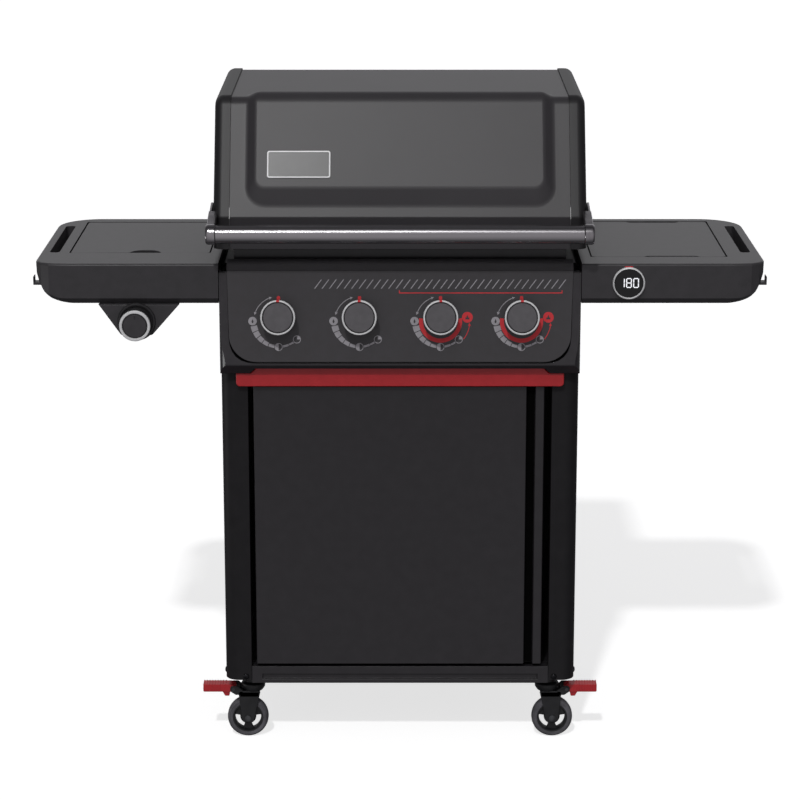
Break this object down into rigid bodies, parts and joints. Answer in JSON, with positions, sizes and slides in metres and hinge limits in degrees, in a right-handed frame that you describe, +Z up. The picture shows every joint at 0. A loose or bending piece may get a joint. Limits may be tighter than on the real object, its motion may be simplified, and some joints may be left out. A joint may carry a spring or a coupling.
{
  "type": "gas barbecue grill",
  "caption": "Gas barbecue grill with a hinged lid, closed cart on casters, slide-out grease tray, side shelves and a covered side burner.",
  "frame": {"origin": "on the floor, at the middle of the grill's box in plan", "axes": "+Z up, -Y is the front where the user stands, +X is the user's right"},
  "size_m": [1.303, 0.6, 1.1939],
  "materials": {
    "enamel": "satin porcelain enamel",
    "powder_coat": "fine-textured black powder coat",
    "shelf_coat": "satin charcoal paint",
    "fascia_coat": "satin charcoal paint with printed marks",
    "moulding": "black glass-filled nylon",
    "red_nylon": "satin red moulding",
    "stainless": "brushed",
    "cast_iron": "matt enamelled",
    "cast_aluminium": "satin cast",
    "brass": "machined",
    "knob_plastic": "satin with a metal ring",
    "display": "glossy black window",
    "tyre": "grey rubber tread"
  },
  "bodies": {
    "cart": {"cart_side_left": "powder_coat", "cart_side_right": "powder_coat", "cart_back_panel": "powder_coat", "cart_floor_panel": "powder_coat", "front_bottom_rail": "powder_coat", "front_top_rail": "powder_coat", "side_burner_bracket": "powder_coat", "side_burner_head": "cast_aluminium", "thermometer_bezel": "cast_aluminium", "cook_box": "enamel", "side_burner_bowl": "enamel", "burner_tube_1": "stainless", "burner_tube_2": "stainless", "burner_tube_3": "stainless", "burner_tube_4": "stainless", "heat_bar_1": "stainless", "heat_bar_2": "stainless", "heat_bar_3": "stainless", "heat_bar_4": "stainless", "warming_rack": "stainless", "cooking_grate_left": "cast_iron", "cooking_grate_right": "cast_iron", "side_burner_grate": "cast_iron", "control_panel": "fascia_coat", "panel_surround": "moulding", "gas_manifold": "brass", "left_shelf": "shelf_coat", "right_shelf": "shelf_coat", "right_shelf_insert": "shelf_coat", "thermometer_display": "display"},
    "lid": {"lid_skin": "enamel", "lid_end_left": "enamel", "lid_end_right": "enamel", "lid_handle_bar": "stainless", "handle_post_left": "cast_aluminium", "handle_post_right": "cast_aluminium"},
    "door": {"door": "powder_coat"},
    "grease_drawer": {"grease_tray": "cast_aluminium", "grease_tray_front": "red_nylon"},
    "side_burner_cover": {"side_burner_lid": "shelf_coat"},
    "valve_1": {"valve_stem_1": "brass"},
    "control_1": {"knob_1": "knob_plastic"},
    "valve_2": {"valve_stem_2": "brass"},
    "control_2": {"knob_2": "knob_plastic"},
    "valve_3": {"valve_stem_3": "brass"},
    "control_3": {"knob_3": "knob_plastic"},
    "valve_4": {"valve_stem_4": "brass"},
    "control_4": {"knob_4": "knob_plastic"},
    "side_valve": {"side_valve_stem": "brass"},
    "side_control": {"side_burner_knob": "knob_plastic"},
    "caster_front_left": {"caster_fork_front_left": "moulding"},
    "wheel_front_left": {"caster_wheel_front_left": "tyre"},
    "brake_left": {"brake_pedal_left": "red_nylon"},
    "caster_front_right": {"caster_fork_front_right": "moulding"},
    "wheel_front_right": {"caster_wheel_front_right": "tyre"},
    "brake_right": {"brake_pedal_right": "red_nylon"},
    "caster_rear_left": {"caster_fork_rear_left": "moulding"},
    "wheel_rear_left": {"caster_wheel_rear_left": "tyre"},
    "caster_rear_right": {"caster_fork_rear_right": "moulding"},
    "wheel_rear_right": {"caster_wheel_rear_right": "tyre"}
  },
  "joints": [
    {"name": "lid_hinge", "type": "hinge", "parent": "cart", "child": "lid", "pos_m": [0, 0.246, 0.934], "axis": [-1, 0, 0], "range_deg": [0, 85]},
    {"name": "door_hinge", "type": "hinge", "parent": "cart", "child": "door", "pos_m": [-0.2675, -0.221, 0.419], "axis": [0, 0, -1], "range_deg": [0, 110]},
    {"name": "grease_tray_slide", "type": "slide", "parent": "cart", "child": "grease_drawer", "axis": [0, -1, 0], "range_m": [0, 0.36]},
    {"name": "side_burner_lid_hinge", "type": "hinge", "parent": "cart", "child": "side_burner_cover", "pos_m": [-0.4685, 0.169, 0.9077], "axis": [-1, 0, 0], "range_deg": [0, 95]},
    {"name": "knob_1_push", "type": "slide", "parent": "cart", "child": "valve_1", "axis": [0, 0.9882, -0.1534], "range_m": [0, 0.004], "stiffness_N_per_m": 900, "springref_m": -0.002},
    {"name": "knob_1_turn", "type": "hinge", "parent": "valve_1", "child": "control_1", "pos_m": [-0.21525, -0.24264, 0.8146], "axis": [0, -0.9882, 0.1534], "range_deg": [0, 240]},
    {"name": "knob_2_push", "type": "slide", "parent": "cart", "child": "valve_2", "axis": [0, 0.9882, -0.1534], "range_m": [0, 0.004], "stiffness_N_per_m": 900, "springref_m": -0.002},
    {"name": "knob_2_turn", "type": "hinge", "parent": "valve_2", "child": "control_2", "pos_m": [-0.07175, -0.24264, 0.8146], "axis": [0, -0.9882, 0.1534], "range_deg": [0, 240]},
    {"name": "knob_3_push", "type": "slide", "parent": "cart", "child": "valve_3", "axis": [0, 0.9882, -0.1534], "range_m": [0, 0.004], "stiffness_N_per_m": 900, "springref_m": -0.002},
    {"name": "knob_3_turn", "type": "hinge", "parent": "valve_3", "child": "control_3", "pos_m": [0.07175, -0.24264, 0.8146], "axis": [0, -0.9882, 0.1534], "range_deg": [0, 270]},
    {"name": "knob_4_push", "type": "slide", "parent": "cart", "child": "valve_4", "axis": [0, 0.9882, -0.1534], "range_m": [0, 0.004], "stiffness_N_per_m": 900, "springref_m": -0.002},
    {"name": "knob_4_turn", "type": "hinge", "parent": "valve_4", "child": "control_4", "pos_m": [0.21525, -0.24264, 0.8146], "axis": [0, -0.9882, 0.1534], "range_deg": [0, 270]},
    {"name": "side_knob_push", "type": "slide", "parent": "cart", "child": "side_valve", "axis": [0, 1, 0], "range_m": [0, 0.004], "stiffness_N_per_m": 900, "springref_m": -0.002},
    {"name": "side_knob_turn", "type": "hinge", "parent": "side_valve", "child": "side_control", "pos_m": [-0.467, -0.24, 0.805], "axis": [0, -1, 0], "range_deg": [0, 240]},
    {"name": "caster_front_left_swivel", "type": "hinge", "parent": "cart", "child": "caster_front_left", "pos_m": [-0.273, -0.175, 0.1], "axis": [0, 0, 1], "continuous": true},
    {"name": "wheel_front_left_spin", "type": "hinge", "parent": "caster_front_left", "child": "wheel_front_left", "pos_m": [-0.283, -0.175, 0.038], "axis": [0, 1, 0], "continuous": true},
    {"name": "brake_pedal_left_press", "type": "hinge", "parent": "caster_front_left", "child": "brake_left", "pos_m": [-0.309, -0.175, 0.095], "axis": [0, -1, 0], "range_deg": [0, 14]},
    {"name": "caster_front_right_swivel", "type": "hinge", "parent": "cart", "child": "caster_front_right", "pos_m": [0.273, -0.175, 0.1], "axis": [0, 0, 1], "continuous": true},
    {"name": "wheel_front_right_spin", "type": "hinge", "parent": "caster_front_right", "child": "wheel_front_right", "pos_m": [0.283, -0.175, 0.038], "axis": [0, 1, 0], "continuous": true},
    {"name": "brake_pedal_right_press", "type": "hinge", "parent": "caster_front_right", "child": "brake_right", "pos_m": [0.309, -0.175, 0.095], "axis": [0, 1, 0], "range_deg": [0, 14]},
    {"name": "caster_rear_left_swivel", "type": "hinge", "parent": "cart", "child": "caster_rear_left", "pos_m": [-0.273, 0.19, 0.1], "axis": [0, 0, 1], "continuous": true},
    {"name": "wheel_rear_left_spin", "type": "hinge", "parent": "caster_rear_left", "child": "wheel_rear_left", "pos_m": [-0.283, 0.19, 0.038], "axis": [0, 1, 0], "continuous": true},
    {"name": "caster_rear_right_swivel", "type": "hinge", "parent": "cart", "child": "caster_rear_right", "pos_m": [0.273, 0.19, 0.1], "axis": [0, 0, 1], "continuous": true},
    {"name": "wheel_rear_right_spin", "type": "hinge", "parent": "caster_rear_right", "child": "wheel_rear_right", "pos_m": [0.283, 0.19, 0.038], "axis": [0, 1, 0], "continuous": true}
  ]
}
